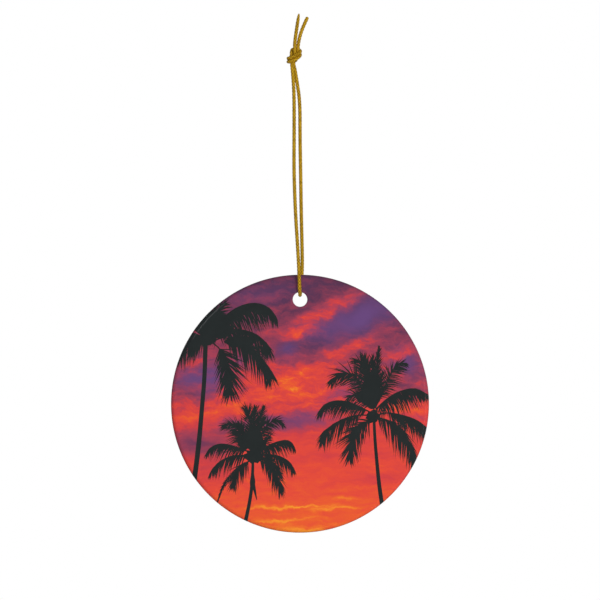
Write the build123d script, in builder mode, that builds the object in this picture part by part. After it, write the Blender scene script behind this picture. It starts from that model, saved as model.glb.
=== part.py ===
from build123d import *
from math import cos, radians, sin, tan
import os

# Round ceramic hanging ornament: a glazed disc with a printed face, hung on a loop of gold cord
# that is tied in one overhand knot, with the two ends of the cord standing out above the knot.
#
# Millimetres, +Z up. The origin is the hanging point, the inside top of the loop just under the knot,
# where a hook goes through. The printed face looks along -Y.

# ---------- Driving dimensions: the disc ----------
disc_diameter = 73.0
disc_thickness = 3.0
rim_radius = 1.2  # rounding of the outer edge, front and back
coat_thickness = 0.1  # printed and glazed layer over the front and its rounded edge
hole_diameter = 4.1
hole_edge_radius = 0.3  # rounding of the hole's edge, front and back
hole_inset = 7.0  # from the rim to the centre of the hole

# ---------- Driving dimensions: the cord ----------
cord_diameter = 1.05
loop_drop = 64.75  # from the hanging point down to the middle of the cord in the hole
disc_offset = 1.6  # the set of the cord holds the disc this far to one side of the hanging point
face_clearance = 0.2  # between the cord and each face of the disc
hole_clearance = 0.3  # between the cord and the top of the hole
bight_radius = 1.1  # the tight turn of the cord round the edge of the hole
strand_gap = 0.07  # between the two strands, and between the two ends, where they lie side by side
bend_share = 0.45  # how much of the shorter run beside a bend its rounding takes up
twist_height = -14.0  # the flat joint between the upper and the lower part of the loop
sway_limit = 60.0  # degrees that the loop swings fore and aft about the hanging point
knot_clearance = 0.15  # between the knot and the tops of the strands when they are swung furthest

# ---------- Driving dimensions: the knot ----------
knot_bottom = 0.7
knot_height = 4.4
knot_diameter = 4.4
knot_mouth_diameter = 3.0  # flat underside
knot_crown_diameter = 3.8  # flat top, where the two ends come out
knot_offset = 0.35

# ---------- What follows from them ----------
disc_radius = disc_diameter / 2
half_thickness = disc_thickness / 2
hole_radius = hole_diameter / 2
cord_radius = cord_diameter / 2
hole_z = -loop_drop - (hole_radius - cord_radius - hole_clearance)
disc_z = hole_z - (disc_radius - hole_inset)
strand_y = half_thickness + face_clearance + cord_radius
pair_y = cord_radius + strand_gap / 2
knot_top = knot_bottom + knot_height
# The tops of the strands stop just low enough to pass under the knot at the sway limit.
strand_edge_rise = (pair_y + cord_radius) * sin(radians(sway_limit))
strand_top = (knot_bottom - knot_clearance - strand_edge_rise) / cos(radians(sway_limit))

os.makedirs("parts", exist_ok=True)


def profile_plane(z):
    """The plane of a profile that is turned about an axis along Y: its x is the radius, its y is depth."""
    return Plane(origin=(disc_offset, 0, z), x_dir=(1, 0, 0), z_dir=(0, 0, 1))


def turning_axis(z):
    return Axis((disc_offset, 0, z), (0, 1, 0))


def corner_radii(route):
    """For each inner point of a route, the widest rounding that leaves some straight run on both sides of it.
    The two turns into the hole go round its edge, so their radius is that of the bight."""
    points = [Vector(*point) for point in route]
    radii = []
    for before, here, after in zip(points, points[1:], points[2:]):
        run_in, run_out = here - before, after - here
        turn = run_in.get_angle(run_out)
        widest = bend_share * min(run_in.length, run_out.length) / tan(radians(turn) / 2)
        tight = abs(here.Z + loop_drop) < cord_radius
        radii.append(min(widest, bight_radius) if tight else widest)
    return radii


# ---------- The cord hole, cut from both layers of the disc ----------
with BuildPart() as cord_hole:
    with BuildSketch(profile_plane(hole_z)):
        with BuildLine():
            flare = hole_radius + hole_edge_radius
            front = CenterArc((flare, hole_edge_radius - half_thickness), hole_edge_radius, 180, 90)
            back = CenterArc((flare, half_thickness - hole_edge_radius), hole_edge_radius, 90, 90)
            Line(front @ 0, back @ 1)
            Polyline(back @ 0, (0, half_thickness), (0, -half_thickness), front @ 1)
        make_face()
    revolve(axis=turning_axis(hole_z))

# ---------- Ceramic disc: the white body, stepped back by the coat on its front ----------
with BuildPart() as ceramic_disc:
    with BuildSketch(profile_plane(disc_z)):
        with BuildLine():
            rim_centre = disc_radius - rim_radius
            front = CenterArc((rim_centre, rim_radius - half_thickness), rim_radius - coat_thickness, -90, 90)
            back = CenterArc((rim_centre, half_thickness - rim_radius), rim_radius, 0, 90)
            Polyline(front @ 1, (disc_radius, rim_radius - half_thickness), back @ 0)
            Polyline(back @ 1, (0, half_thickness), (0, coat_thickness - half_thickness), front @ 0)
        make_face()
    revolve(axis=turning_axis(disc_z))
    add(cord_hole.part, mode=Mode.SUBTRACT)

# ---------- Printed coat: a thin glazed skin over the front and round its edge ----------
with BuildPart() as printed_coat:
    with BuildSketch(profile_plane(disc_z)):
        with BuildLine():
            rim_point = (disc_radius - rim_radius, rim_radius - half_thickness)
            outside = CenterArc(rim_point, rim_radius, -90, 90)
            inside = CenterArc(rim_point, rim_radius - coat_thickness, -90, 90)
            Line(outside @ 1, inside @ 1)
            Polyline(inside @ 0, (0, coat_thickness - half_thickness), (0, -half_thickness), outside @ 0)
        make_face()
    revolve(axis=turning_axis(disc_z))
    add(cord_hole.part, mode=Mode.SUBTRACT)

# ---------- Knot: the outer shape of one overhand knot in the doubled cord ----------
with BuildPart() as cord_knot:
    with BuildSketch(Plane(origin=(knot_offset, 0, 0), x_dir=(1, 0, 0), z_dir=(0, -1, 0))):
        with BuildLine():
            mouth = (knot_mouth_diameter / 2, knot_bottom)
            crown = (knot_crown_diameter / 2, knot_top)
            widest_point = (knot_diameter / 2, knot_bottom + knot_height / 2)
            side = ThreePointArc(mouth, widest_point, crown)
            Polyline(side @ 1, (0, knot_top), (0, knot_bottom), side @ 0)
        make_face()
    revolve(axis=Axis((knot_offset, 0, 0), (0, 0, 1)))

# ---------- The cord's routes, chosen by hand: (x, y, z) along its middle ----------
cord_routes = {
    # from the knot down the front to the twist joint
    "cord_front_strand": [
        (-0.42, -pair_y, strand_top),
        (-0.16, -pair_y, -5.0),
        (-0.05, -0.75, -9.5),
        (-0.05, -0.75, twist_height),
    ],
    # from the knot down the back to the twist joint
    "cord_back_strand": [
        (0.50, pair_y, strand_top),
        (1.05, pair_y, -5.0),
        (1.60, 0.75, -9.5),
        (1.60, 0.75, twist_height),
    ],
    # down in front of the disc, through the hole and up behind it
    "cord_loop": [
        (-0.05, -0.75, twist_height),
        (-0.05, -0.75, -20.0),
        (-0.12, -1.50, -30.0),
        (0.33, -strand_y, -42.0),
        (0.88, -strand_y, -50.0),
        (1.30, -strand_y, -57.5),
        (1.55, -strand_y, -loop_drop),
        (1.65, strand_y, -loop_drop),
        (2.30, strand_y, -57.5),
        (2.16, strand_y, -50.0),
        (1.96, strand_y, -42.0),
        (1.78, 1.50, -30.0),
        (1.60, 0.75, -20.0),
        (1.60, 0.75, twist_height),
    ],
    # the end that stands nearly straight
    "cord_tail_straight": [
        (0.10, -pair_y, knot_top),
        (0.10, -pair_y, 6.6),
        (0.48, -0.65, 9.4),
        (0.90, -0.60, 12.2),
        (1.32, -0.40, 14.9),
    ],
    # the end that curves away
    "cord_tail_curved": [
        (1.12, pair_y, knot_top),
        (1.12, pair_y, 6.4),
        (1.55, 0.65, 8.6),
        (2.45, 0.60, 11.2),
        (3.70, 0.35, 13.8),
    ],
}

cord_parts = {}
for name, route in cord_routes.items():
    radii = corner_radii(route)
    with BuildPart() as tube:
        with BuildLine() as middle:
            FilletPolyline(*route, radius=radii)
        with BuildSketch(Plane(origin=middle.line @ 0, z_dir=middle.line % 0)) as section:
            Circle(cord_radius)
        sweep()
    length = middle.wire().length
    print(
        f"{name}: length {length:.2f}, radii {[round(radius, 1) for radius in radii]},",
        f"volume {tube.part.volume:.3f}, section by length {section.sketch.area * length:.3f}",
    )
    cord_parts[name] = tube.part

# ---------- One labelled STEP for each piece ----------
pieces = {
    "ceramic_disc": ceramic_disc.part,
    "printed_coat": printed_coat.part,
    "cord_knot": cord_knot.part,
    **cord_parts,
}
for name, piece in pieces.items():
    piece.label = name
    export_step(piece, f"parts/{name}.step")
    print(f"{name}: {piece.volume:.2f} mm3")
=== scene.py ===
# %% [markdown]
# # A round ceramic ornament on a gold cord
# The ornament is a flat glazed disc with a printed sunset, hung on one length of braided gold cord that is tied
# in a single overhand knot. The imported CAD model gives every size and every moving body. This lesson builds the
# looks around it: after the camera come the cord, the knot, the print and the ceramic, and at last the light.

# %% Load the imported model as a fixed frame
import math

import bpy
import numpy as np
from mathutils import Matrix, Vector
from mathutils.bvhtree import BVHTree
from mathutils.geometry import delaunay_2d_cdt


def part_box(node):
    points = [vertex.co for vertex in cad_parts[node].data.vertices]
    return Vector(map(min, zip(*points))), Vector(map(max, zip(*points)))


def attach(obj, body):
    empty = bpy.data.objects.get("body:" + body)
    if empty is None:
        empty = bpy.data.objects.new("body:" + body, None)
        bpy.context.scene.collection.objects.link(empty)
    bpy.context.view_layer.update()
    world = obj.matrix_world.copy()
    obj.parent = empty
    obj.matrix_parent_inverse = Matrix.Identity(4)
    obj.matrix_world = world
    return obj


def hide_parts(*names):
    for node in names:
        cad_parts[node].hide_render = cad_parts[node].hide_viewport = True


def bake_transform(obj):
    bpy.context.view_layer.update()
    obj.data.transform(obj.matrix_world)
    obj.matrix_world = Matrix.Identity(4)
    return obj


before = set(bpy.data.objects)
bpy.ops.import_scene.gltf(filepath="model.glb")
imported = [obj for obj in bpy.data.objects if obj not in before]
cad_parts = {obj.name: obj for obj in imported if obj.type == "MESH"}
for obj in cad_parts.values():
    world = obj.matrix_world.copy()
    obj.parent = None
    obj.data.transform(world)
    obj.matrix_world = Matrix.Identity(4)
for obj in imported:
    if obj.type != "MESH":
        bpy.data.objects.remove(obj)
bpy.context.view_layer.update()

MM = 0.001  # the model is in metres, and this lesson's sizes are in millimetres

# %% [markdown]
# ## The camera
# A small flat object is best seen through a long lens from far away, so that the cord in front of the disc and the
# cord behind it keep the same size. The camera looks straight at the printed face, along +Y.

# %% Place the camera
disc_radius = 36.5
disc_x, disc_z = 1.6, -95.475  # the disc's middle
view_distance = 1500.0
view_width = 169.8
view_height = -66.13  # the level that the camera looks at, halfway between the cord's ends and the disc's bottom

camera = bpy.data.objects.new("camera", bpy.data.cameras.new("camera"))
camera.data.sensor_width = 36.0
camera.data.lens = camera.data.sensor_width * view_distance / view_width
camera.data.clip_end = 20.0
camera.location = (disc_x * MM, -view_distance * MM, view_height * MM)
camera.rotation_euler = (math.pi / 2, 0, 0)
bpy.context.collection.objects.link(camera)
bpy.context.scene.camera = camera
bpy.context.scene.view_settings.view_transform = "Standard"
disc_box = np.array(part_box("ceramic_disc")) / MM
print("disc in the CAD: middle", disc_box.mean(axis=0).round(2), "size", np.ptp(disc_box, axis=0).round(2))

# %% [markdown]
# ## Helpers for surfaces
# Every new piece is a surface worked out with numpy. A grid of points becomes a mesh when each point is joined to
# its neighbours in the next row and the next column. Where the grid is closed, the last row or column is joined
# to the first one.


# %% Grids into meshes
def grid_faces(rows, columns, closed_rows=False):
    """Four-sided faces between neighbouring points of a grid that is numbered row by row.
    Columns always run all the way round, and rows do too where closed_rows is true."""
    row = np.arange(rows if closed_rows else rows - 1)[:, None]
    column = np.arange(columns)[None, :]
    next_row, next_column = (row + 1) % rows, (column + 1) % columns
    corners = [
        row * columns + column,
        row * columns + next_column,
        next_row * columns + next_column,
        next_row * columns + column,
    ]
    return np.stack(corners, axis=-1).reshape(-1, 4)


def surface(name, points, faces, *finishes):
    """A smooth mesh piece from points in millimetres and lists of point numbers, with its finishes."""
    mesh = bpy.data.meshes.new(name)
    mesh.from_pydata((np.asarray(points) * MM).tolist(), [], faces)
    mesh.shade_smooth()
    for finish in finishes:
        mesh.materials.append(finish)
    piece = bpy.data.objects.new(name, mesh)
    bpy.context.collection.objects.link(piece)
    print(f"{name}: {len(mesh.vertices)} points, {len(mesh.polygons)} faces")
    return piece


# %% [markdown]
# ## Helpers for finishes
# A finish is a Principled shader whose colour, roughness and bump come from a few nodes. These short helpers keep
# the wiring readable: they add a node and set its sockets, work out a number, look a colour up in a row of stops,
# and start a finish.


# %% Nodes
def add_node(nodes, kind, values=None, **settings):
    """A new node with its settings, and with values put in or linked to its input sockets."""
    made = nodes.nodes.new(kind)
    for key, value in settings.items():
        setattr(made, key, value)
    for key, value in (values or {}).items():
        if isinstance(value, bpy.types.NodeSocket):
            nodes.links.new(value, made.inputs[key])
        else:
            made.inputs[key].default_value = value
    return made


def math_node(nodes, operation, *values, clamp=False):
    """A Math node's result."""
    made = add_node(nodes, "ShaderNodeMath", dict(enumerate(values)), operation=operation, use_clamp=clamp)
    return made.outputs[0]


def colour_row(nodes, factor, stops):
    """The colour that a factor finds in a row of stops. Each stop is a place from 0 to 1 and a colour, and
    between two stops the colour runs evenly from one to the other."""
    made = add_node(nodes, "ShaderNodeValToRGB", {"Fac": factor})
    row = made.color_ramp
    row.elements.remove(row.elements[1])
    for number, (place, colour) in enumerate(stops):
        stop = row.elements[0] if number == 0 else row.elements.new(place)
        stop.position, stop.color = place, colour
    return made.outputs["Color"]


# %% Finishes and colours
def new_finish(name, sockets):
    """A material with one Principled shader. Returns the material, its node tree and the shader."""
    material = bpy.data.materials.new(name)
    material.use_nodes = True
    tree = material.node_tree
    shader = tree.nodes["Principled BSDF"]
    for key, value in sockets.items():
        shader.inputs[key].default_value = value
    return material, tree, shader


def paint(red, green, blue):
    """A colour as a painter reads it, 0 to 255, turned into the linear light values that Blender mixes."""
    level = np.array([red, green, blue]) / 255
    linear = np.where(level <= 0.04045, level / 12.92, ((level + 0.055) / 1.055) ** 2.4)
    return (*linear.tolist(), 1.0)


# %% [markdown]
# ## The cord's finish
# The cord is a round braid of thin gold yarns. Four yarns wind to the left and four to the right, each passing
# over one and under the next. The relief is real geometry, worked out below. The finish only adds what is too
# fine for the mesh: the threads in each yarn as a bump, a slightly different gold for each plait, and painted
# shade, a darker gold painted down between the yarns and a lighter one on their tops. It reads the piece's own map,
# which counts plaits round and along the cord.

# %% Gold braid, where on the braid
gold_braid, tree, shader = new_finish("gold_braid", {"Metallic": 0.5})
braid_map = add_node(tree, "ShaderNodeUVMap", uv_map="plaits")
plait = add_node(tree, "ShaderNodeSeparateXYZ", {"Vector": braid_map.outputs["UV"]})
relief = add_node(tree, "ShaderNodeAttribute", attribute_name="relief")
over = add_node(tree, "ShaderNodeAttribute", attribute_name="left_yarn_over")

left_turn = math_node(tree, "ADD", plait.outputs["X"], plait.outputs["Y"])
right_turn = math_node(tree, "SUBTRACT", plait.outputs["X"], plait.outputs["Y"])
plait_number = add_node(
    tree,
    "ShaderNodeCombineXYZ",
    {"X": math_node(tree, "FLOOR", left_turn), "Y": math_node(tree, "FLOOR", right_turn)},
)
plait_shade = add_node(tree, "ShaderNodeTexWhiteNoise", {"Vector": plait_number.outputs[0]}).outputs["Value"]

# %% Gold braid, threads and painted shade
threads_per_yarn = 7.0
left_threads = math_node(tree, "SINE", math_node(tree, "MULTIPLY", left_turn, threads_per_yarn * math.tau))
right_threads = math_node(tree, "SINE", math_node(tree, "MULTIPLY", right_turn, threads_per_yarn * math.tau))
threads = add_node(
    tree,
    "ShaderNodeMix",
    {"Factor": over.outputs["Fac"], "A": right_threads, "B": left_threads},
)
# Painted shade: from 0, deep between the yarns, painted dark, to 1, on top of a yarn, painted light. Each plait is
# moved up or down a little.
shade = math_node(tree, "MULTIPLY_ADD", plait_shade, 0.28, -0.14)
shade = math_node(tree, "ADD", shade, relief.outputs["Fac"])
shade = math_node(tree, "MULTIPLY_ADD", threads.outputs[0], 0.05, shade)
# The darkest gold is painted shade down between the yarns and the lightest is painted light on their tops; the threads
# add a faint painted shade across each yarn.
gold_painted_shading = [(0.30, paint(58, 34, 4)), (0.66, paint(210, 160, 24)), (0.95, paint(240, 194, 50))]
tree.links.new(colour_row(tree, shade, gold_painted_shading), shader.inputs["Base Color"])
tree.links.new(math_node(tree, "MULTIPLY_ADD", plait_shade, 0.14, 0.26), shader.inputs["Roughness"])
thread_height = 0.02 * MM
thread_bump = add_node(
    tree, "ShaderNodeBump", {"Strength": 0.5, "Distance": thread_height, "Height": threads.outputs[0]}
)
tree.links.new(thread_bump.outputs["Normal"], shader.inputs["Normal"])
print("gold_braid:", len(tree.nodes), "nodes")

# %% [markdown]
# ## The cord's line
# A cord has no corners, so its line is a smooth NURBS curve and the given points are its control points.
# The same points are the bends of the CAD model's tubes. Blender works out the curve, and the mesh of the cord is
# carried along points that are read from it, spaced evenly.


# %% Read a smooth line from its control points
ring_spacing = 0.09  # from one ring of the braid to the next, in millimetres


def smooth_line(route):
    """Evenly spaced points along the NURBS curve that a route in millimetres controls."""
    curve = bpy.data.curves.new("line", "CURVE")
    curve.dimensions = "3D"
    curve.resolution_u = 16
    spline = curve.splines.new("NURBS")
    spline.points.add(len(route) - 1)
    spline.points.foreach_set("co", np.c_[np.array(route) * MM, np.ones(len(route))].ravel())
    spline.order_u = 3
    spline.use_endpoint_u = True
    line = bpy.data.objects.new("line", curve)
    drawn = bpy.data.meshes.new_from_object(line)
    points = np.empty((len(drawn.vertices), 3))
    drawn.vertices.foreach_get("co", points.reshape(-1))
    bpy.data.objects.remove(line)
    bpy.data.curves.remove(curve)
    bpy.data.meshes.remove(drawn)
    run = np.r_[0, np.cumsum(np.linalg.norm(np.diff(points, axis=0), axis=1))]
    even = np.linspace(0, run[-1], round(run[-1] / MM / ring_spacing) + 1)
    return np.stack([np.interp(even, run, points[:, k]) for k in range(3)], axis=1) / MM, even / MM


# %% [markdown]
# ## Carrying the braid along a line
# Each ring of the tube needs two directions across the line, and these must not spin about it from ring to ring,
# or the braid would look wrung. Each ring takes the last ring's direction with the part along the line removed.
#
# The braid's height is a formula in two numbers. One counts left-hand yarns and one counts right-hand yarns, at
# any angle round the cord and any distance along it. Across a yarn the height is an arch, and along it the height
# rises where the yarn passes over and falls where it passes under. The higher of the two yarns is what shows.

# %% Height of the braid
cord_radius = 0.525
yarns_each_way = 4
plait_length = 0.92  # along the cord, from one crossing to the next of the same two yarns
relief_depth = 0.22  # of the radius, from the top of a yarn down to the crossing beside it
arch_share = 0.55  # how much of the height is the arch across a yarn, and the rest is the wave along it


def braid_height(left, right):
    """Height of the braid, 0 to 1, and whether the left-hand yarn is on top.
    Each yarn is a half-round arch across, plus a wave along that is up on every second crossing."""
    left_arch, right_arch = (np.sqrt(np.clip(4 * (n % 1) * (1 - n % 1), 0, 1)) for n in (left, right))
    left_wave = np.where(np.floor(left) % 2 == 0, 1, -1) * np.sin(np.pi * right)
    right_wave = -np.where(np.floor(right) % 2 == 0, 1, -1) * np.sin(np.pi * left)
    left_height = arch_share * left_arch + (1 - arch_share) * left_wave
    right_height = arch_share * right_arch + (1 - arch_share) * right_wave
    return np.clip(np.maximum(left_height, right_height), 0, 1), left_height > right_height


# %% Directions across a line
def sides_of(line, first_side):
    """For each point of a line, two directions across it that never spin about it. The first is the last point's,
    less its part along the line, and the second is square to it and to the line."""
    along = np.gradient(line, axis=0)
    along /= np.linalg.norm(along, axis=1, keepdims=True)
    sides = np.empty_like(line)
    side = np.asarray(first_side, dtype=float)
    for ring, direction in enumerate(along):
        side = side - direction * (side @ direction)
        side /= np.linalg.norm(side)
        sides[ring] = side
    return sides, np.cross(along, sides)


# %% The braided tube
points_round = 48
end_relief = 0.3  # the shade of the braid at the middle of a closed end


def cap_faces(middle, ring):
    """Triangles from the middle of a closed end to each side of its ring, all turned one way."""
    return np.stack([np.full(points_round, middle), np.roll(ring, -1), ring], axis=1).tolist()


def label_plaits(mesh, height, left_over, along_count):
    """What the finish reads: at each point its height and the upper yarn, and at each corner of a face a place
    that counts yarns round the cord and plaits along it. The corners of the closed ends are all at zero."""
    for label, values in (("relief", height), ("left_yarn_over", left_over.astype(float))):
        layer = mesh.attributes.new(label, "FLOAT", "POINT")
        layer.data.foreach_set("value", np.r_[values.ravel(), end_relief, end_relief].astype(np.float32))
    row, column = np.arange(len(height) - 1)[:, None], np.arange(points_round)
    low, high = along_count[row] + 0 * column, along_count[row + 1] + 0 * column
    left, right = (turn * yarns_each_way / points_round + 0 * row for turn in (column, column + 1))
    corners = np.stack([left, low, right, low, right, high, left, high], axis=-1).reshape(-1, 2)
    end_corners = np.zeros((2 * 3 * points_round, 2))
    plait_map = mesh.uv_layers.new(name="plaits")
    plait_map.data.foreach_set("uv", np.vstack([corners, end_corners]).astype(np.float32).ravel())


def braided_cord(name, line, run, fullness, first_side, plaits_before=0.0):
    """A braided tube. A point is the line's point plus the radius times the cosine of its angle along one side
    and the sine along the other. The radius is the fullness less the relief depth where the braid is low."""
    side, other_side = sides_of(line, first_side)
    angle = np.linspace(0, math.tau, points_round, endpoint=False)
    round_count = yarns_each_way * angle / math.tau
    along_count = plaits_before + run / plait_length
    height, left_over = braid_height(round_count + along_count[:, None], round_count - along_count[:, None])
    radius = cord_radius * fullness[:, None] * (1 - relief_depth * (1 - height))
    across = np.cos(angle)[:, None] * side[:, None] + np.sin(angle)[:, None] * other_side[:, None]
    points = line[:, None] + radius[:, :, None] * across
    rings = len(line)
    column = np.arange(points_round)
    first_middle, last_middle = rings * points_round, rings * points_round + 1
    faces = grid_faces(rings, points_round).tolist()
    faces += cap_faces(first_middle, column)
    faces += [corners[::-1] for corners in cap_faces(last_middle, first_middle - points_round + column)]
    piece = surface(name, np.vstack([points.reshape(-1, 3), line[:1], line[-1:]]), faces, gold_braid)
    label_plaits(piece.data, height, left_over, along_count)
    print(f"  {run[-1]:.1f} mm long, {run[-1] / plait_length:.0f} plaits")
    return piece, side[-1], along_count[-1]


# %% [markdown]
# ## The hanging loop
# The lower part of the loop comes down in front of the disc, turns through the hole and goes up behind it. It
# starts and ends at the flat joint where the two strands may twist round each other. The disc turns on its own
# joint in the hole, and the cord there stays still.

# %% Lower loop
pair_y = 0.56  # half the distance between the two strands where they lie together
strand_y = 2.225  # half the distance between them where the disc is between them
twist_height, hole_cord_height = -14.0, -64.75
loop_route = [
    (-0.05, -0.75, twist_height),
    (-0.05, -0.75, -20.0),
    (-0.12, -1.50, -30.0),
    (0.33, -strand_y, -42.0),
    (0.88, -strand_y, -50.0),
    (1.30, -strand_y, -57.5),
    (1.55, -strand_y, hole_cord_height),
    (1.65, strand_y, hole_cord_height),
    (2.30, strand_y, -57.5),
    (2.16, strand_y, -50.0),
    (1.96, strand_y, -42.0),
    (1.78, 1.50, -30.0),
    (1.60, 0.75, -20.0),
    (1.60, 0.75, twist_height),
]


loop_line, loop_run = smooth_line(loop_route)
hanging_loop, back_side, back_plaits = braided_cord(
    "hanging_loop", loop_line, loop_run, np.ones(len(loop_line)), (1, 0, 0)
)
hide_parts("cord_loop")
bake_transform(hanging_loop)

# %% [markdown]
# ## The knot and the two ends
# The two strands go up side by side into one overhand knot. The pair rises on the left, turns over to the right
# behind the two ends, comes down across the front as the band that binds the knot, goes round the left side and
# the back, and comes up through the loop it has made. Each row below is the middle of the pair, and half of the
# way from one cord to the other, so both cords come from the same rows. The knot squeezes the cord a little, and
# one cut end is drawn out to a point while the other is round.

# %% Rows of the knot
# Each row: the pair's middle to the right, back and up, then the same three for the way from it to the front cord.
knot_rows = [
    (-0.42, 0.02, 0.30, -0.27, -0.44, 0.00),
    (-0.46, 0.22, 1.40, -0.30, -0.40, 0.00),
    (-0.58, 0.25, 2.50, -0.31, -0.37, 0.00),
    (-0.60, 0.32, 3.44, -0.28, -0.36, 0.14),
    (-0.52, 0.70, 4.30, -0.24, -0.26, 0.44),
    (0.16, 1.30, 4.52, -0.06, -0.14, 0.47),
    (0.98, 1.35, 4.40, 0.08, -0.05, 0.47),
    (1.66, 0.72, 4.05, 0.02, -0.03, 0.47),
    (1.74, -0.42, 3.60, 0.00, -0.02, 0.47),
    (1.20, -1.18, 2.98, -0.14, -0.03, 0.46),
    (0.15, -1.42, 2.35, -0.20, 0.00, 0.43),
    (-0.90, -1.30, 1.95, -0.10, 0.00, 0.46),
    (-1.76, -0.62, 1.82, 0.00, 0.00, 0.47),
    (-1.76, 0.50, 1.74, 0.00, 0.00, 0.47),
    (-1.00, 1.42, 1.75, 0.00, 0.00, 0.47),
    (0.05, 1.66, 2.00, 0.02, 0.00, 0.47),
    (0.60, 1.48, 2.26, 0.10, 0.05, 0.46),
    (0.70, 0.80, 2.66, 0.10, 0.16, 0.44),
    (0.50, -0.08, 3.40, 0.30, 0.24, 0.28),
    (0.50, -0.36, 4.20, 0.42, 0.24, 0.00),
]
knot_middles, to_front_cord = np.hsplit(np.array(knot_rows), 2)

# %% Routes of the two cords
front_route = [
    (-0.05, -0.75, twist_height),
    (-0.05, -0.75, -9.5),
    (-0.22, -pair_y, -5.0),
    (-0.55, -pair_y, -1.0),
    *(knot_middles + to_front_cord).tolist(),
    (1.04, 0.10, 5.1),
    (1.12, 0.40, 6.4),
    (1.55, 0.65, 8.6),
    (2.45, 0.60, 11.2),
    (3.78, 0.35, 14.0),
]
back_route = [
    (1.60, 0.75, twist_height),
    (1.52, 0.75, -9.5),
    (0.85, pair_y, -5.0),
    (0.20, pair_y, -1.0),
    *(knot_middles - to_front_cord).tolist(),
    (0.10, -0.60, 5.1),
    (0.10, -pair_y, 6.6),
    (0.48, -0.65, 9.4),
    (0.90, -0.60, 12.2),
    (1.32, -0.40, 14.9),
]

# %% Knotted ends
knot_squeeze = 0.10  # how much thinner the cord is inside the knot
knot_foot, knot_top = 0.6, 5.2
squeeze_fade = 0.3  # millimetres of height in which the squeeze falls off by a factor of e at the knot's ends


def cord_fullness(line, run, point_length, tip):
    """How full the cord is, as a share of its radius. It is less inside the knot, where the squeeze comes in at
    the foot and goes out at the top as a logistic curve of the height. Over the point's length it tapers, as a
    quarter circle, down to the tip's share at the last end."""
    height = line[:, 2]
    into = 1 / (1 + np.exp((knot_foot - height) / squeeze_fade))
    out_of = 1 / (1 + np.exp((height - knot_top) / squeeze_fade))
    to_end = np.clip((run[-1] - run) / point_length, 0, 1)
    taper = tip + (1 - tip) * np.sqrt(np.clip(1 - (1 - to_end) ** 2, 0, 1))
    return (1 - knot_squeeze * into * out_of) * taper


def knotted_cord(name, nodes, route, first_side, plaits_before, point_length, tip):
    """One strand, its way through the knot and its free end. It replaces the named CAD nodes."""
    line, run = smooth_line(route)
    fullness = cord_fullness(line, run, point_length, tip)
    piece, _, _ = braided_cord(name, line, run, fullness, first_side, plaits_before)
    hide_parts(*nodes)
    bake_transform(piece)


knotted_cord(
    "front_cord",
    ("cord_front_strand", "cord_knot", "cord_tail_curved"),
    front_route,
    first_side=(1, 0, 0),
    plaits_before=0.0,
    point_length=0.7,
    tip=0.25,
)
knotted_cord(
    "back_cord",
    ("cord_back_strand", "cord_tail_straight"),
    back_route,
    first_side=back_side,
    plaits_before=back_plaits,
    point_length=3.4,
    tip=0.18,
)

# %% [markdown]
# ## The disc's profile
# Seen from the side the disc has flat faces and rounded edges. How far a point of the front lies behind the flat
# face depends only on its distance from the disc's middle and from the middle of the hole: nothing on the flat,
# and the height of a quarter circle near the rim or the hole.

# %% Sizes of the disc
half_thickness = 1.5
rim_round = 1.2
hole_radius = 2.05
hole_round = 0.3
coat_thickness = 0.1
hole_up = disc_radius - 7.0  # how far the hole's middle is above the disc's middle


def set_back(from_middle, from_hole):
    """How far the front lies behind its flat, in millimetres: radius less the height of the quarter circle."""
    into_rim = np.clip(from_middle - (disc_radius - rim_round), 0, rim_round)
    into_hole = np.clip(hole_radius + hole_round - from_hole, 0, hole_round)
    rim = rim_round - np.sqrt(rim_round**2 - into_rim**2)
    hole = hole_round - np.sqrt(hole_round**2 - into_hole**2)
    return rim + hole


# %% [markdown]
# ## Drawing the palms
# The print's palms are dark silhouettes. A palm leaf is a curved spine with many narrow leaflets, so each spine is
# given as a few points and the leaflets are worked out from it: they leave the spine at an angle,
# lean towards its tip, and hang down more or less. Each leaflet is a small pointed polygon.

# %% Smooth curves on the print
quarter_turn = np.array([[0, 1], [-1, 0]])  # turns a direction on the print a quarter turn anticlockwise
fine_steps = 200  # the points that the curve's length is measured through
nudge = 0.004  # how far to each side, as a share of the curve, its direction is taken from
ribbon_steps = 14


def unit(vectors):
    """The directions of vectors: each one divided by its own length."""
    return vectors / np.linalg.norm(vectors, axis=1, keepdims=True)


def spine_curve(points, places):
    """Points of a smooth curve through given points, its directions there, and its length. Places are shares
    of the length. Between two points the curve is a cubic (Catmull-Rom), and its slope at each point is half the
    step between the two neighbours."""
    points = np.asarray(points, dtype=float)
    padded = np.vstack([2 * points[0] - points[1], points, 2 * points[-1] - points[-2]])

    def at(t):
        part = np.clip(t * (len(points) - 1), 0, len(points) - 1 - 1e-9)
        k = part.astype(int)
        f = (part - k)[:, None]
        a, b, c, d = padded[k], padded[k + 1], padded[k + 2], padded[k + 3]
        return b + f / 2 * (c - a) + f**2 / 2 * (2 * a - 5 * b + 4 * c - d) + f**3 / 2 * (3 * b - a - 3 * c + d)

    fine = np.linspace(0, 1, fine_steps)
    run = np.r_[0, np.cumsum(np.linalg.norm(np.diff(at(fine), axis=0), axis=1))]
    t = np.interp(places * run[-1], run, fine)
    slope = at(np.clip(t + nudge, 0, 1)) - at(np.clip(t - nudge, 0, 1))
    return at(t), unit(slope), run[-1]


def ribbon(points, widths):
    """A strip along a smooth curve, its width running evenly through the given widths."""
    places = np.linspace(0, 1, ribbon_steps)
    middle, slope, _ = spine_curve(points, places)
    half = np.interp(places, np.linspace(0, 1, len(widths)), widths)[:, None] / 2
    across = slope @ quarter_turn
    return np.vstack([middle + half * across, (middle - half * across)[::-1]])


# %% Leaflets along a spine
scatter = np.random.default_rng(24)
leaflet_gap = 0.27  # along the spine, in millimetres
down = np.array([0.0, -1.0])


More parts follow.
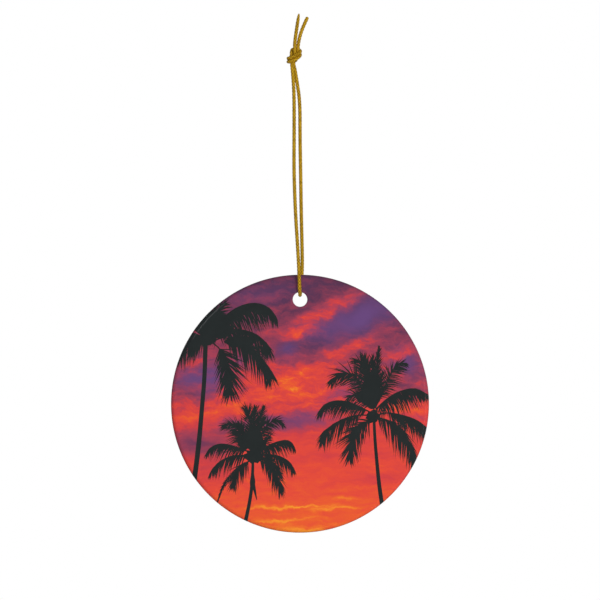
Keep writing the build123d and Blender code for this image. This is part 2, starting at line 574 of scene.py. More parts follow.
def palm_leaf(points, reach, hang, bare=0.06):
    """The leaflets of one palm leaf and its spine, as polygons. Leaflets start along the spine beyond its bare
    part. Their length is the reach times a low arch that is longest before the middle. Each is bent once: its
    first half leans towards the tip and is pulled down by the hang, and its second half is pulled down more."""
    length = spine_curve(points, np.array([0.0]))[2]
    count = max(int(length * (1 - bare) / leaflet_gap), 6)
    jitter = scatter.uniform(-0.4, 0.4, 2 * count) * leaflet_gap / length
    place = np.clip(np.tile(np.linspace(bare, 0.985, count), 2) + jitter, 0, 1)
    side = np.repeat([1.0, -1.0], count)[:, None]
    root, slope, _ = spine_curve(points, place)
    across = slope @ quarter_turn * side
    along_leaf = (place - bare) / (1 - bare)
    spread = np.radians(54 - 38 * along_leaf + scatter.uniform(-10, 10, 2 * count))[:, None]
    first = unit(np.cos(spread) * slope + np.sin(spread) * across + hang * down)
    second = unit(first + 0.4 * hang * down)
    arch = np.sin(np.pi * (0.20 + 0.71 * along_leaf)) ** 0.8
    size = (reach * arch * scatter.uniform(0.72, 1.24, 2 * count))[:, None]
    bend = root + first * size * 0.5
    tip = bend + second * size * 0.5
    thick = (0.10 + 0.011 * reach) * scatter.uniform(0.8, 1.2, 2 * count)[:, None]
    half = first @ quarter_turn * thick
    leaflets = np.stack([root + half, bend + half * 0.8, tip, bend - half * 0.8, root - half], axis=1)
    return [*leaflets, ribbon(points, (0.42, 0.36, 0.28, 0.12))]


# %% Thick crowns
blob_points = 22


def blob(x, z, wide, high, wobble=0.08):
    """A closed outline round a middle: an ellipse whose every point is moved in or out by up to the wobble."""
    angle = np.linspace(0, math.tau, blob_points, endpoint=False)
    size = 1 + scatter.uniform(-wobble, wobble, blob_points)
    return np.stack([x + wide * size * np.cos(angle), z + high * size * np.sin(angle)], axis=1)


# %% [markdown]
# ## Three palms
# Places are in millimetres from the middle of the disc, across and up. The tall palm on the left runs off the rim,
# the small one stands low in the middle, and the third stands on the right. Each has a trunk, a few blobs where the
# crown is too thick to see through, and its leaves. A leaf is given by its spine, the reach of its leaflets, how much
# they hang, and how much of the spine is bare.

# %% The tall palm
tall_palm = [
    ribbon(
        [(-26.7, 17.5), (-27.0, 8.0), (-27.7, -1.0), (-28.7, -12.0), (-30.2, -24.0)],
        (1.3, 1.2, 1.25, 1.4, 1.45),
    ),
    blob(-26.2, 18.4, 2.4, 2.0),
    blob(-23.0, 20.6, 4.2, 2.2),
    blob(-26.6, 23.0, 4.4, 3.6),
    blob(-21.4, 23.6, 2.6, 1.8),
    blob(-17.0, 17.6, 4.4, 1.6),
    *palm_leaf([(-26, 19), (-20.6, 25.2), (-16.3, 27.8), (-12.4, 28.4), (-9.0, 27.2), (-6.8, 24.6)], 8.4, 1.5, 0.12),
    *palm_leaf([(-24, 20), (-19.2, 21.0), (-15.1, 20.6), (-12.0, 19.3), (-9.8, 17.2), (-9.0, 15.2)], 8.2, 1.0, 0.2),
    *palm_leaf(
        [(-25, 17.2), (-23.0, 18.4), (-20.6, 18.6), (-15.4, 16.6), (-11.8, 13.2), (-9.2, 10.0), (-8.8, 7.6)],
        8.8, 0.8, 0.22,
    ),
    *palm_leaf([(-25.2, 17.6), (-22.6, 15.4), (-20.9, 12.0), (-20.0, 7.6), (-19.8, 2.8)], 8.0, 0.2, 0.2),
    *palm_leaf([(-26.5, 18.6), (-29.8, 18.4), (-32.4, 16.6), (-34.6, 13.6)], 7.2, 1.6, 0.1),
    *palm_leaf([(-27, 18.6), (-29.4, 17.6), (-30.8, 15.4)], 6.4, 1.2, 0.05),
    *palm_leaf([(-27, 18.6), (-30.6, 20.0), (-33.6, 18.6)], 6.4, 1.2, 0.1),
    *palm_leaf([(-26, 19.3), (-25.0, 22.7), (-23.2, 26.0), (-21.2, 28.4)], 4.2, 0.2),
    *palm_leaf([(-26.5, 20.0), (-26.8, 24.0), (-25.2, 28.0)], 5.2, 0.1),
]

# %% The low palm
low_palm = [
    ribbon(
        [(-13.3, -15.5), (-13.4, -19.5), (-13.7, -24.0), (-14.5, -29.0), (-15.7, -34.5)],
        (0.7, 0.9, 0.95, 1.0, 1.1),
    ),
    ribbon([(-13.4, -20.0), (-13.4, -22.2), (-13.6, -24.4)], (0.9, 1.6, 0.9)),
    ribbon([(-13.2, -22.4), (-12.7, -25.0), (-12.2, -27.2)], (0.9, 0.7, 0.16)),
    blob(-13.1, -14.9, 2.6, 2.0, 0.2),
    blob(-13.2, -9.8, 2.2, 4.0),
    blob(-12.0, -11.6, 2.6, 2.0),
    blob(-15.6, -11.0, 2.0, 2.0),
    *palm_leaf([(-14.0, -12.4), (-16.4, -8.0), (-18.8, -6.0), (-21.8, -6.0)], 4.4, 0.35, 0.1),
    *palm_leaf([(-13.6, -11), (-13.9, -6.6), (-14.4, -3.2), (-15.4, -1.0)], 4.2, 0.1, 0.1),
    *palm_leaf([(-13.3, -10), (-13.1, -4.4), (-12.7, -1.2)], 3.6, 0.0, 0.1),
    *palm_leaf([(-12.8, -10), (-11.6, -4.8), (-10.2, -1.0)], 2.8, 0.0, 0.1),
    *palm_leaf([(-12.6, -11), (-11.2, -7.4), (-10.2, -4.2)], 3.4, 0.0, 0.1),
    *palm_leaf([(-12.0, -12.4), (-10.4, -8.0), (-8.6, -5.6), (-6.4, -4.6), (-4.6, -6.0)], 3.6, 0.6, 0.1),
    *palm_leaf([(-12.2, -13.0), (-10.2, -10.6), (-8.8, -9.4)], 3.4, 0.3, 0.1),
    *palm_leaf([(-12.0, -13.6), (-7.8, -11.3), (-4.2, -10.3), (-2.4, -11.0), (-1.6, -12.4)], 4.6, 1.3, 0.08),
    *palm_leaf([(-12.0, -14.3), (-7.2, -14.5), (-4.2, -15.6), (-2.6, -17.0), (-1.9, -18.6)], 5.2, 1.1, 0.1),
    *palm_leaf([(-11.6, -14.8), (-8.6, -16.4), (-6.8, -18.0), (-5.6, -20.0)], 4.2, 0.6, 0.12),
    *palm_leaf([(-11.8, -15.8), (-8.8, -17.6), (-6.9, -20.4), (-5.8, -23.0), (-5.6, -24.8)], 5.4, 0.6, 0.08),
    *palm_leaf([(-14.2, -16.0), (-16.4, -17.8), (-18.2, -20.4), (-18.9, -23.0)], 5.2, 0.6, 0.06),
    *palm_leaf([(-15.6, -16.6), (-19.7, -20.4), (-21.8, -23.4), (-23.4, -27.8)], 1.3, 0.3, 0.1),
    *palm_leaf([(-14.4, -14.6), (-19.2, -14.8), (-23.0, -16.6), (-25.2, -19.4)], 5.4, 0.9, 0.08),
    *palm_leaf([(-14.4, -13.6), (-19.4, -11.8), (-22.8, -11.4), (-25.2, -12.4), (-26.4, -14.0)], 5.0, 1.0, 0.1),
    *palm_leaf([(-14.4, -12.6), (-16.6, -9.6), (-18.4, -7.8)], 4.4, 0.5, 0.05),
    *palm_leaf([(-13.9, -12.6), (-16.2, -9.0), (-17.6, -5.6)], 2.8, 0.2, 0.1),
]

# %% The right-hand palm
right_palm = [
    ribbon([(20.9, -4.0), (21.2, -10.0), (21.7, -16.0), (22.4, -23.0), (23.5, -30.5)], (0.8, 0.9, 1.0, 1.15, 1.25)),
    blob(20.6, -3.5, 1.9, 1.9, 0.2),
    blob(20.4, 4.0, 2.6, 5.6),
    blob(18.4, 2.0, 2.6, 2.0),
    *palm_leaf([(19.0, 0.6), (17.2, 5.0), (14.8, 8.0), (12.0, 8.6), (9.8, 7.4), (8.8, 6.0)], 5.2, 0.5, 0.2),
    *palm_leaf([(19.6, -0.5), (18.8, 7.0), (17.4, 11.2), (15.6, 12.4)], 5.0, 0.3, 0.1),
    *palm_leaf([(20.2, 0.5), (19.3, 8.0), (18.0, 13.4)], 4.4, 0.0, 0.1),
    *palm_leaf([(20.7, 2.0), (20.6, 9.0), (20.6, 13.2)], 3.2, 0.0, 0.1),
    *palm_leaf([(20.9, 1.0), (21.7, 9.4), (22.4, 16.0)], 2.6, 0.0, 0.12),
    *palm_leaf([(21.2, 0.0), (22.4, 4.6), (23.2, 8.4)], 3.2, 0.1, 0.1),
    *palm_leaf([(22.0, 0.5), (24.4, 5.6), (26.0, 9.0), (28.2, 11.2), (29.8, 11.4)], 4.2, 0.5, 0.12),
    *palm_leaf([(21.4, -1.6), (24.4, 1.2), (27.8, 3.3), (32.4, 4.3), (36.2, 2.6)], 6.2, 1.5, 0.08),
    *palm_leaf([(21.4, -3.4), (23.9, -2.6), (26.1, -2.7), (29.5, -3.4), (33.2, -4.8), (36.6, -7.4)], 7.2, 1.4, 0.24),
    *palm_leaf([(21.6, -3.8), (24.9, -4.8), (28.2, -7.6), (30.8, -11.8), (33.2, -17.4)], 7.6, 0.9, 0.02),
    *palm_leaf([(20.2, -4.2), (17.4, -6.6), (15.4, -9.2), (14.4, -12.2), (14.0, -15.4)], 6.6, 0.25, 0.06),
    *palm_leaf([(20.0, -3.3), (16.9, -3.2), (13.7, -3.8), (9.8, -5.6), (7.4, -7.8), (6.2, -10.6)], 6.8, 0.9, 0.2),
    *palm_leaf([(20.2, -2.6), (16.6, -0.7), (13.2, 0.6), (9.8, 0.8), (6.8, -0.4), (5.2, -2.8)], 6.0, 1.0, 0.1),
    *palm_leaf([(20.0, -1.0), (17.6, 1.6), (15.2, 2.4), (13.6, 1.6)], 4.2, 0.6, 0.1),
]
palms = tall_palm + low_palm + right_palm
print(len(palms), "outlines in the three palms")

# %% [markdown]
# ## Cutting the print into sky and silhouette
# The printed face is cut along the outlines of the palms, so that the dark ink and the sky are separate faces of
# one skin and the edge between them stays sharp at any size. A constrained triangulation does this. It takes the
# rim, the rings where the edges round over, the hole and the outlines, and returns triangles together with the
# numbers of the outlines that each one is inside. A first cut finds what is ink. A second one keeps only the edge
# between ink and sky, which leaves out the thousands of crossings inside the ink.

# %% Rings and cuts
rim_points, hole_points = 384, 96
merge_within = 1e-4  # points closer than this many millimetres are one point


def circle(middle_z, radius, count):
    """Points evenly round a circle whose middle is that far above the disc's middle."""
    angle = np.linspace(0, math.tau, count, endpoint=False)
    return np.stack([radius * np.cos(angle), middle_z + radius * np.sin(angle)], axis=1)


def anticlockwise(outline):
    """The outline, turned round if its signed area (half the sum of the cross products) is below zero."""
    x, z = outline.T
    return outline if x @ np.roll(z, -1) > z @ np.roll(x, -1) else outline[::-1]


def cut_disc(points, edges, outlines):
    """Triangles that keep the edges and outlines. The first outline is the disc's and the second the hole's, and
    a triangle that is inside any other is in a palm. Returns the points, the triangles and which are in a palm."""
    made = delaunay_2d_cdt([Vector(point) for point in points], edges, outlines, 1, merge_within, True)
    on_disc = np.array([0 in numbers and 1 not in numbers for numbers in made[5]])
    in_palm = np.array([len(numbers) > 1 for numbers in made[5]])
    return np.array([tuple(point) for point in made[0]]), np.array(made[2])[on_disc], in_palm[on_disc]


# %% The first cut
rim_radii = disc_radius - rim_round * (1 - np.sin(np.radians([0, 10, 20, 30, 40, 50, 60, 70, 80])))
flare_radii = hole_radius + hole_round * (1 - np.sin(np.radians([0, 18, 36, 54, 72])))
flat_margin = 0.1  # one more ring on the flat keeps the rounding's shading off it
rings = [circle(0, radius, rim_points) for radius in (rim_radii[0] - flat_margin, *rim_radii)]
rings += [circle(hole_up, radius, hole_points) for radius in (flare_radii[0] + flat_margin, *flare_radii)]
edges_of_print = [circle(0, disc_radius, rim_points), circle(hole_up, hole_radius, hole_points)]

shapes = rings + edges_of_print + [anticlockwise(outline) for outline in palms]
starts = np.r_[0, np.cumsum([len(shape) for shape in shapes])].tolist()
loops = [list(range(start, stop)) for start, stop in zip(starts, starts[1:])]
ring_edges = [pair for loop in loops[: len(rings)] for pair in zip(loop, loop[1:] + loop[:1])]
rough_points, rough, rough_ink = cut_disc(np.vstack(shapes).tolist(), ring_edges, loops[len(rings) :])
print("first cut:", len(rough), "triangles,", int(rough_ink.sum()), "in the palms")

# %% The second cut keeps only the edge of the ink
sides = np.sort(np.vstack([rough[:, [0, 1]], rough[:, [1, 2]], rough[:, [2, 0]]]), axis=1)
sides, owner = np.unique(sides, axis=0, return_inverse=True)
owner = owner.ravel()
faces_beside = np.bincount(owner)
ink_beside = np.bincount(owner, weights=np.tile(rough_ink, 3))
ink_edges = sides[(faces_beside == 2) & (ink_beside == 1)]
kept, ink_edges = np.unique(ink_edges, return_inverse=True)
plain = np.vstack(shapes[: len(rings) + 2])
ink_edges = (ink_edges.reshape(-1, 2) + len(plain)).tolist()
skin_points, skin, _ = cut_disc(
    np.vstack([plain, rough_points[kept]]).tolist(), ring_edges + ink_edges, loops[len(rings) : len(rings) + 2]
)
first_cut = BVHTree.FromPolygons([(x, z, 0.0) for x, z in rough_points.tolist()], rough.tolist())
under = [first_cut.ray_cast((x, z, 1.0), (0, 0, -1))[2] for x, z in skin_points[skin].mean(axis=1).tolist()]
inked = np.array([face is not None and bool(rough_ink[face]) for face in under])
used, skin = np.unique(skin, return_inverse=True)
skin_points, skin = skin_points[used], skin.reshape(-1, 3)
print("second cut:", len(skin), "triangles,", int(inked.sum()), "in the palms")

# %% [markdown]
# ## The sky
# The sky is one finish, read from the object's own coordinates in millimetres from the disc's middle. A slow
# gradient from dusk purple at the top to orange at the bottom is the ground. Soft strokes, listed one by one, make
# bands of cloud brighter or darker: each is a bell curve of the distance from its middle, longer one way than the
# other and tilted. Two noises then break everything up, one in slanting puffs for the upper sky and one in long
# flat streaks for the lower sky. The result is looked up in a row of colours.

# %% Sky, the place on the print
ink_under_glaze = {
    "Roughness": 0.6,
    "Specular IOR Level": 0.0,
    "Coat Weight": 1.0,
    "Coat Roughness": 0.04,
    "Coat IOR": 1.5,
}
sunset_sky, tree, shader = new_finish("sunset_sky", ink_under_glaze)
where = add_node(tree, "ShaderNodeTexCoord").outputs["Object"]
place = add_node(
    tree,
    "ShaderNodeMapping",
    {
        "Vector": where,
        "Location": (-disc_x, -disc_z, 0.0),
        "Rotation": (-math.pi / 2, 0, 0),
        "Scale": (1 / MM, 1 / MM, 1 / MM),
    },
).outputs[0]
# After the turn, X runs across the print and Y runs up it.
flat_place = add_node(
    tree, "ShaderNodeVectorMath", {0: place, 1: (1.0, 1.0, 0.0)}, operation="MULTIPLY"
).outputs["Vector"]
# Every place drifts a few millimetres by a slow noise, so that no stroke keeps a ruled edge.
drift = add_node(tree, "ShaderNodeTexNoise", {"Vector": flat_place, "Scale": 0.16, "Detail": 4.0, "Roughness": 0.6})
drift = add_node(
    tree, "ShaderNodeVectorMath", {0: drift.outputs["Color"], 1: (0.5, 0.5, 0.5)}, operation="SUBTRACT"
).outputs["Vector"]
drifted = add_node(
    tree, "ShaderNodeVectorMath", {0: drift, 1: (7.0, 5.0, 0.0), 2: flat_place}, operation="MULTIPLY_ADD"
).outputs["Vector"]
height = add_node(tree, "ShaderNodeSeparateXYZ", {"Vector": drifted}).outputs["Y"]

# %% Sky, the soft strokes
# Each stroke: place across and up, half length, half width, tilt in degrees, and how much it adds.
glow_strokes = [
    (9.5, 27.2, 12.5, 2.8, 29, 0.50),
    (-1.0, 20.6, 6.0, 1.6, 10, 0.30),
    (13.0, 15.6, 13.0, 2.0, 24, 0.34),
    (28.0, 14.4, 5.0, 1.3, 14, 0.34),
    (2.5, 7.0, 9.0, 4.6, 10, 0.20),
    (-7.5, 4.0, 8.0, 4.0, 5, 0.16),
    (-32.0, -4.0, 6.5, 2.2, 4, 0.10),
    (-21.0, -1.5, 7.0, 2.2, 3, 0.16),
    (-29.0, 12.4, 2.6, 1.2, 8, 0.22),
    (30.0, -1.4, 6.0, 1.4, 3, 0.18),
    (-11.0, 29.6, 6.0, 0.9, 6, 0.14),
    (-10.0, 10.0, 5.0, 2.0, 20, 0.12),
    (30.5, 4.6, 6.5, 3.6, 0, -0.24),
    (-30.5, 3.2, 7.5, 2.4, 0, -0.26),
    (4.5, 12.6, 5.0, 1.8, 12, -0.20),
    (15.5, 25.3, 9.0, 3.0, 18, -0.22),
    (20.0, 24.0, 8.0, 4.0, 20, -0.18),
    (4.0, 17.2, 10.0, 2.2, 15, -0.18),
    (30.5, 11.0, 4.0, 2.2, -30, -0.28),
    (-31.5, 7.2, 5.0, 2.4, 0, -0.22),
    (-24.0, 8.0, 4.5, 3.4, 0, -0.18),
    (-3.6, 15.6, 3.0, 2.4, 10, -0.14),
    (2.0, -4.6, 9.5, 2.6, 3, -0.26),
    (-9.0, -5.0, 7.0, 2.4, 0, -0.26),
    (-19.0, -6.6, 6.0, 2.2, 0, -0.22),
    (-31.0, -11.0, 6.5, 3.4, 0, -0.42),
    (-23.5, -12.0, 6.0, 3.6, 0, -0.26),
    (13.0, 2.6, 5.0, 3.4, 20, -0.12),
    (24.0, -21.0, 11.0, 1.6, 5, -0.12),
    (12.0, -14.6, 16.0, 1.2, 2, -0.07),
    (-4.0, -29.2, 10.0, 0.45, 2, 0.22),
    (9.0, -29.6, 8.0, 0.4, 3, 0.18),
    (-6.0, -33.4, 7.0, 0.5, 6, 0.16),
    (1.0, -36.4, 8.0, 0.9, 0, 0.14),
    (11.0, -27.0, 7.0, 0.6, 4, 0.12),
    (-24.0, -19.6, 9.0, 3.4, 0, -0.15),
    (4.5, 2.8, 4.0, 1.0, 12, 0.16),
    (2.0, 9.6, 5.0, 1.2, 8, 0.12),
]
# The same, for how blue the purple of the sky is.
violet_strokes = [
    (17.0, 24.6, 13.0, 4.6, 22, 0.95),
    (3.0, 21.0, 5.0, 2.0, 15, 0.35),
    (30.0, 12.0, 5.0, 3.4, -40, 0.70),
    (-31.5, 7.4, 5.0, 3.0, 0, 0.75),
    (-24.5, 7.0, 4.0, 5.0, 0, 0.75),
    (-17.4, 11.6, 2.0, 2.4, -40, 0.60),
    (-3.4, 15.4, 2.6, 2.6, 10, 0.60),
    (-12.0, 31.0, 12.0, 3.0, 8, 0.25),
    (11.0, 3.6, 6.0, 4.0, 20, 0.40),
    (2.0, -4.0, 8.0, 2.6, 5, 0.55),
    (-19.0, -5.4, 5.0, 1.6, 0, 0.60),
    (-10.0, -5.0, 6.0, 2.6, 0, 0.35),
    (33.6, -3.6, 3.0, 1.0, 0, 0.60),
    (-31.0, -10.5, 6.0, 3.4, 0, 0.12),
]


# %% Sky, brightness and violet
def soft_strokes(strokes, total):
    """Adds to a value, for each stroke, its amount times one over e to the power of the squared distance from
    its middle, where distance is counted in half lengths along the stroke and in half widths across it."""
    for across, up, half_length, half_width, tilt, amount in strokes:
        near = add_node(
            tree,
            "ShaderNodeMapping",
            {
                "Vector": drifted,
                "Location": (across, up, 0.0),
                "Rotation": (0, 0, math.radians(tilt)),
                "Scale": (half_length, half_width, 1.0),
            },
            vector_type="TEXTURE",
        ).outputs[0]
        squared = add_node(tree, "ShaderNodeVectorMath", {0: near, 1: near}, operation="DOT_PRODUCT").outputs["Value"]
        total = math_node(tree, "MULTIPLY_ADD", math_node(tree, "POWER", 1 / math.e, squared), amount, total)
    return total


ground_span = 75.0  # millimetres of height that the row of stops covers
ground_heights = [
    (-36.5, 0.88), (-31, 0.84), (-26, 0.79), (-16, 0.72), (-9, 0.66),
    (0, 0.62), (7, 0.50), (14, 0.33), (24, 0.20), (34, 0.05),
]
ground_stops = [(up / ground_span + 0.5, (level, level, level, 1)) for up, level in ground_heights]
ground = colour_row(tree, math_node(tree, "MULTIPLY_ADD", height, 1 / ground_span, 0.5), ground_stops)
glow = soft_strokes(glow_strokes, ground)
violet = soft_strokes(violet_strokes, 0.0)


# %% Sky, puffs and streaks
def cloud_noise(tilt, stretch, detail, seed):
    """Noise about zero, in lumps that are longer along the tilt than across it."""
    turned = add_node(
        tree,
        "ShaderNodeMapping",
        {"Vector": drifted, "Rotation": (0, 0, math.radians(-tilt)), "Scale": stretch, "Location": (seed, seed, seed)},
    ).outputs[0]
    noise = add_node(
        tree, "ShaderNodeTexNoise", {"Vector": turned, "Scale": 1.0, "Detail": detail, "Roughness": 0.68}
    )
    return math_node(tree, "SUBTRACT", noise.outputs["Fac"], 0.5)


puffs = cloud_noise(22, (0.20, 0.52, 1.0), 6.0, 3.0)
streaks = cloud_noise(4, (0.07, 0.75, 1.0), 6.0, 11.0)
low_sky = add_node(
    tree, "ShaderNodeMapRange", {"Value": height, "From Min": 2.0, "From Max": -12.0}, interpolation_type="SMOOTHSTEP"
).outputs["Result"]
puff_amount = math_node(tree, "MULTIPLY_ADD", low_sky, -0.80, 1.10)
streak_amount = math_node(tree, "MULTIPLY_ADD", low_sky, 0.20, 0.10)
glow = math_node(tree, "MULTIPLY_ADD", puffs, puff_amount, glow)
glow = math_node(tree, "MULTIPLY_ADD", streaks, streak_amount, glow)

# %% Sky, colours
sky_colours = [
    (0.00, (82, 47, 74)),
    (0.20, (114, 52, 76)),
    (0.42, (154, 58, 76)),
    (0.60, (196, 59, 62)),
    (0.75, (214, 69, 53)),
    (0.86, (220, 86, 43)),
    (0.95, (226, 114, 40)),
    (1.08, (234, 158, 44)),
]
brightest = sky_colours[-1][0]
sky_stops = [(level / brightest, paint(*colour)) for level, colour in sky_colours]
sky_colour = colour_row(tree, math_node(tree, "MULTIPLY", glow, 1 / brightest), sky_stops)
dimness = add_node(
    tree, "ShaderNodeMapRange", {"Value": glow, "From Min": 0.85, "From Max": 0.15}, interpolation_type="SMOOTHSTEP"
).outputs["Result"]
violet_share = math_node(tree, "MULTIPLY", violet, dimness, clamp=True)
with_violet = add_node(
    tree,
    "ShaderNodeMix",
    {"Factor": violet_share, "A": sky_colour, "B": paint(98, 66, 118)},
    data_type="RGBA",
)
tree.links.new(with_violet.outputs["Result"], shader.inputs["Base Color"])
print("sunset_sky:", len(tree.nodes), "nodes,", len(glow_strokes) + len(violet_strokes), "soft strokes")

# %% [markdown]
# ## Ink and glaze
# The palms are a nearly black green-grey ink under the same clear glaze, a little uneven where the ink is thinner.
# The white of the body wanders a little between two near whites. All three finishes share a very faint ripple,
# because a fired glaze is never as flat as glass.

# %% Ink, ripple and ceramic
palm_ink, ink_tree, ink_shader = new_finish("palm_ink", ink_under_glaze)
white_glaze, white_tree, white_shader = new_finish(
    "white_glaze",
    {"Roughness": 0.3, "Specular IOR Level": 0.4, "Coat Weight": 1.0, "Coat Roughness": 0.05, "Coat IOR": 1.5},
)


def mottled(nodes, target, scale, thin, thick):
    """The target's colour, wandering between two near ones with a soft noise in the object's coordinates."""
    spot = add_node(nodes, "ShaderNodeTexCoord").outputs["Object"]
    noise = add_node(nodes, "ShaderNodeTexNoise", {"Vector": spot, "Scale": scale, "Detail": 4.0})
    mixed = add_node(
        nodes, "ShaderNodeMix", {"Factor": noise.outputs["Fac"], "A": thin, "B": thick}, data_type="RGBA"
    )
    nodes.links.new(mixed.outputs["Result"], target.inputs["Base Color"])


def rippled(nodes, target, scale, depth):
    """A faint ripple of the glaze on the clear coat and on what lies under it."""
    spot = add_node(nodes, "ShaderNodeTexCoord").outputs["Object"]
    noise = add_node(nodes, "ShaderNodeTexNoise", {"Vector": spot, "Scale": scale, "Detail": 2.0})
    bump = add_node(nodes, "ShaderNodeBump", {"Strength": 0.3, "Distance": depth, "Height": noise.outputs["Fac"]})
    nodes.links.new(bump.outputs["Normal"], target.inputs["Normal"])
    nodes.links.new(bump.outputs["Normal"], target.inputs["Coat Normal"])


mottled(ink_tree, ink_shader, 260.0, paint(27, 32, 32), paint(36, 41, 41))
mottled(white_tree, white_shader, 120.0, paint(236, 235, 231), paint(243, 242, 239))
for nodes, target in ((tree, shader), (ink_tree, ink_shader), (white_tree, white_shader)):
    rippled(nodes, target, 180.0, 0.02 * MM)
print("palm_ink:", len(ink_tree.nodes), "nodes, white_glaze:", len(white_tree.nodes), "nodes")

# %% [markdown]
# ## The printed coat
# The triangles become a thin shell. Its outer side follows the disc's rounded edges, and its inner side is the
# same surface moved in by the coat's thickness, against the facing direction. A strip of faces joins the two
# sides round the rim and round the hole, so the piece is closed.


# %% Facing of the front
nearly_zero = 1e-6  # millimetres, so that nothing is divided by zero


def front_facing(points):
    """Which way the front faces at each point. It leans outwards on the rim and towards the hole's middle in its
    rounding, by the angle whose sine is the share of the rounding that the point is into."""
    from_middle = np.linalg.norm(points, axis=1)
    to_hole = np.array([0, hole_up]) - points
    from_hole = np.linalg.norm(to_hole, axis=1)
    rim_sine = np.clip((from_middle - disc_radius + rim_round) / rim_round, 0, 1)
    hole_sine = np.clip((hole_radius + hole_round - from_hole) / hole_round, 0, 1)
    lean = points * (rim_sine / np.maximum(from_middle, nearly_zero))[:, None]
    lean += to_hole * (hole_sine / np.maximum(from_hole, nearly_zero))[:, None]
    forward = -np.sqrt(np.clip(1 - rim_sine**2 - hole_sine**2, 0, 1))
    return np.stack([lean[:, 0], forward, lean[:, 1]], axis=1)


# %% Shell of the print
from_middle = np.linalg.norm(skin_points, axis=1)
from_hole = np.linalg.norm(skin_points - (0, hole_up), axis=1)
depth = set_back(from_middle, from_hole) - half_thickness
outer = np.stack([disc_x + skin_points[:, 0], depth, disc_z + skin_points[:, 1]], axis=1)
inner = outer - coat_thickness * front_facing(skin_points)
directed = np.vstack([skin[:, [0, 1]], skin[:, [1, 2]], skin[:, [2, 0]]])
_, owner, uses = np.unique(np.sort(directed, axis=1), axis=0, return_inverse=True, return_counts=True)
border = directed[uses[owner.ravel()] == 1]
wall = np.stack([border[:, 1], border[:, 0], border[:, 0] + len(outer), border[:, 1] + len(outer)], axis=1)
shell_faces = skin.tolist() + (skin[:, ::-1] + len(outer)).tolist() + wall.tolist()
print_shell = surface("printed_face", np.vstack([outer, inner]), shell_faces, sunset_sky, palm_ink)
crease = math.radians(40)  # an edge that turns more than this stays sharp
finish_of_face = np.r_[inked, np.zeros(len(skin) + len(wall), dtype=bool)].astype(np.int32)
print_shell.data.polygons.foreach_set("material_index", finish_of_face)
print_shell.data.set_sharp_from_angle(angle=crease)
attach(print_shell, "disc")
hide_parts("printed_coat")

# %% [markdown]
# ## The ceramic body
# The white disc has a hole off its middle, so it is a ring: one closed profile carried all the way round. Each
# row of the grid is a circle. Near the hole the circles are round the hole's middle, near the rim they are round
# the disc's middle, and on the two faces their middles and radii move evenly from one to the other. The front is
# set back by the coat's thickness, with a small step at the rim and another in the hole where the coat ends.

# %% Profile of the ceramic
rim_centre = disc_radius - rim_round
flare_centre = hole_radius + hole_round
coat_edge = rim_round - half_thickness  # the depth at which the coat ends on the rim
hole_coat_edge = hole_round - half_thickness


def quarter_round(share, centre, depth, radius, start_turn, stop_turn, steps):
    """A quarter circle of the profile, from one turn to another in degrees. Each row is the share of the way from
    the hole's middle to the disc's, the radius of that circle of the body, and its depth."""
    turn = np.radians(np.linspace(start_turn, stop_turn, steps))
    return np.stack([np.full(steps, share), centre + radius * np.cos(turn), depth + radius * np.sin(turn)], axis=1)


back_flare = quarter_round(0, flare_centre, half_thickness - hole_round, hole_round, 180, 90, 6)
back_rim = quarter_round(1, rim_centre, half_thickness - rim_round, rim_round, 90, 0, 9)
front_rim = quarter_round(1, rim_centre, coat_edge, rim_round - coat_thickness, 0, -90, 9)
front_rim = np.vstack([(1, disc_radius, coat_edge), front_rim])
front_flare = quarter_round(0, flare_centre, hole_coat_edge, hole_round - coat_thickness, -90, -180, 5)
front_flare = np.vstack([front_flare, (0, hole_radius, hole_coat_edge)])
face_steps = 14


def across_face(start, stop):
    """Circles between two of the profile's, closer together near the hole: the share of the way is squared on
    the way out from the hole, and its square root on the way back."""
    share = np.linspace(0, 1, face_steps + 2)[1:-1, None] ** (2 if start[0] < stop[0] else 0.5)
    return start + (stop - start) * share


profile = np.vstack([
    back_flare,
    across_face(back_flare[-1], back_rim[0]),
    back_rim,
    front_rim,
    across_face(front_rim[-1], front_flare[0]),
    front_flare,
])
print("profile of the ceramic:", len(profile), "circles")

# %% Ring of ceramic
angle = np.linspace(0, math.tau, rim_points, endpoint=False)
middle_up = hole_up * (1 - profile[:, :1])
body_points = np.stack(
    np.broadcast_arrays(
        disc_x + profile[:, 1:2] * np.cos(angle),
        profile[:, 2:3],
        disc_z + middle_up + profile[:, 1:2] * np.sin(angle),
    ),
    axis=-1,
).reshape(-1, 3)
body_faces = grid_faces(len(profile), rim_points, closed_rows=True)
a, b, c, d = (body_points[body_faces[:, k]] for k in range(4))
volume = np.einsum("ij,ij->", np.cross(b - a, c - a), a) / 6 + np.einsum("ij,ij->", np.cross(c - a, d - a), a) / 6
if volume < 0:
    body_faces = body_faces[:, ::-1]
ceramic_body = surface("ceramic_body", body_points, body_faces.tolist(), white_glaze)
ceramic_body.data.set_sharp_from_angle(angle=crease)
print(f"  volume {abs(volume):.0f} cubic millimetres")
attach(ceramic_body, "disc")
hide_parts("ceramic_disc")

# %% [markdown]
# ## Floor and light
# The ornament hangs over a round pale table. Two soft boxes near the camera light the face evenly, and a third one
# behind lights the plain white back. A big light would leave a big white patch in the glaze, so no glossy surface
# sees these three. The glaze mirrors three small dim cards instead: one on the left and one on the right of the
# camera, each a thin line of light in the rounded rim, and one behind. The table isn't mirrored either. The room is
# a dim even grey, which keeps the edge of the glaze dark, while the backdrop that the camera sees is white.

# %% Table
table_radius = 620.0
table_height = -250.0
table_sides = 96
ring_angle = np.linspace(0, math.tau, table_sides, endpoint=False)
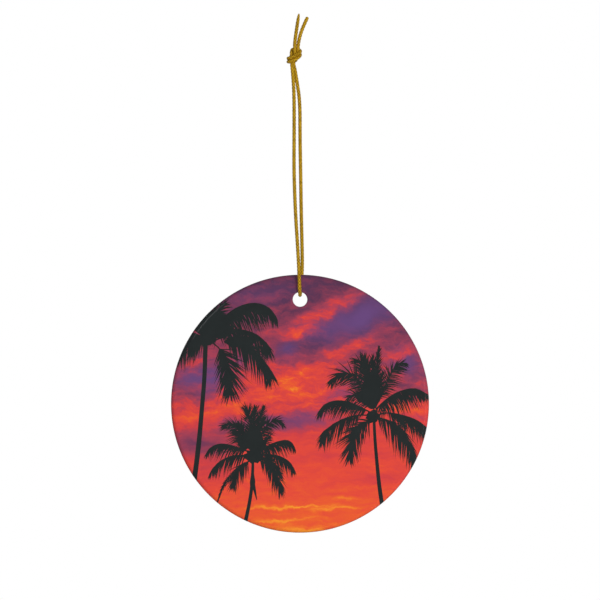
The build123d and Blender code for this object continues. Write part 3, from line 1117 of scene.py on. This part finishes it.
# Each ring: its radius and its height, as shares of the table's radius.
table_rings = np.array([(0.0001, 0), (0.97, 0), (0.99, -0.004), (1, -0.012), (0.98, -0.03), (0.0001, -0.03)])
table_points = np.stack(
    np.broadcast_arrays(
        disc_x + table_radius * table_rings[:, :1] * np.cos(ring_angle),
        table_radius * table_rings[:, :1] * np.sin(ring_angle),
        table_height + table_radius * table_rings[:, 1:],
    ),
    axis=-1,
).reshape(-1, 3)
pale_paint, _, _ = new_finish("pale_paint", {"Base Color": paint(232, 230, 226), "Roughness": 0.6})
table = surface("table", table_points, grid_faces(len(table_rings), table_sides)[:, ::-1].tolist(), pale_paint)
table.visible_glossy = False

# %% Soft boxes and cards
aim = Vector((disc_x * MM, 0, disc_z * MM))


def soft_box(name, direction, distance, wide, high, watts, mirrored):
    """A rectangular light that faces the disc, with its distance, width and height in metres. Its direction is
    degrees to the right of the camera and degrees above it. Only a mirrored one is seen in glossy surfaces."""
    right, above = map(math.radians, direction)
    towards = Vector((math.sin(right) * math.cos(above), -math.cos(right) * math.cos(above), math.sin(above)))
    lamp = bpy.data.lights.new(name, "AREA")
    lamp.shape, lamp.size, lamp.size_y, lamp.energy = "RECTANGLE", wide, high, watts
    holder = bpy.data.objects.new(name, lamp)
    holder.location = aim + towards * distance
    holder.rotation_euler = towards.to_track_quat("Z", "Y").to_euler()
    holder.visible_glossy = mirrored
    bpy.context.collection.objects.link(holder)


soft_box("key_right", (38, 8), 1.35, 0.45, 0.55, 12.5, False)
soft_box("fill_left", (-8, 12), 1.35, 0.50, 0.50, 7.0, False)
soft_box("fill_behind", (158, 22), 1.40, 0.80, 0.80, 14.0, False)
soft_box("card_behind", (168, 12), 1.40, 0.12, 0.36, 0.35, True)
soft_box("card_left", (-12, 10), 1.35, 0.10, 0.16, 0.16, True)
soft_box("card_right", (27, -2), 1.35, 0.05, 0.30, 0.16, True)
print(len(bpy.data.lights), "lights,", sum(light.energy for light in bpy.data.lights), "watts in all")

# %% Room
dim_grey, white = (0.14, 0.14, 0.145, 1), (1, 1, 1, 1)
room = bpy.data.worlds.new("room")
bpy.context.scene.world = room
room.use_nodes = True
room_light = room.node_tree.nodes["Background"]
ray = add_node(room.node_tree, "ShaderNodeLightPath")
seen = add_node(
    room.node_tree,
    "ShaderNodeMix",
    {"Factor": ray.outputs["Is Camera Ray"], "A": dim_grey, "B": white},
    data_type="RGBA",
)
room.node_tree.links.new(seen.outputs["Result"], room_light.inputs["Color"])
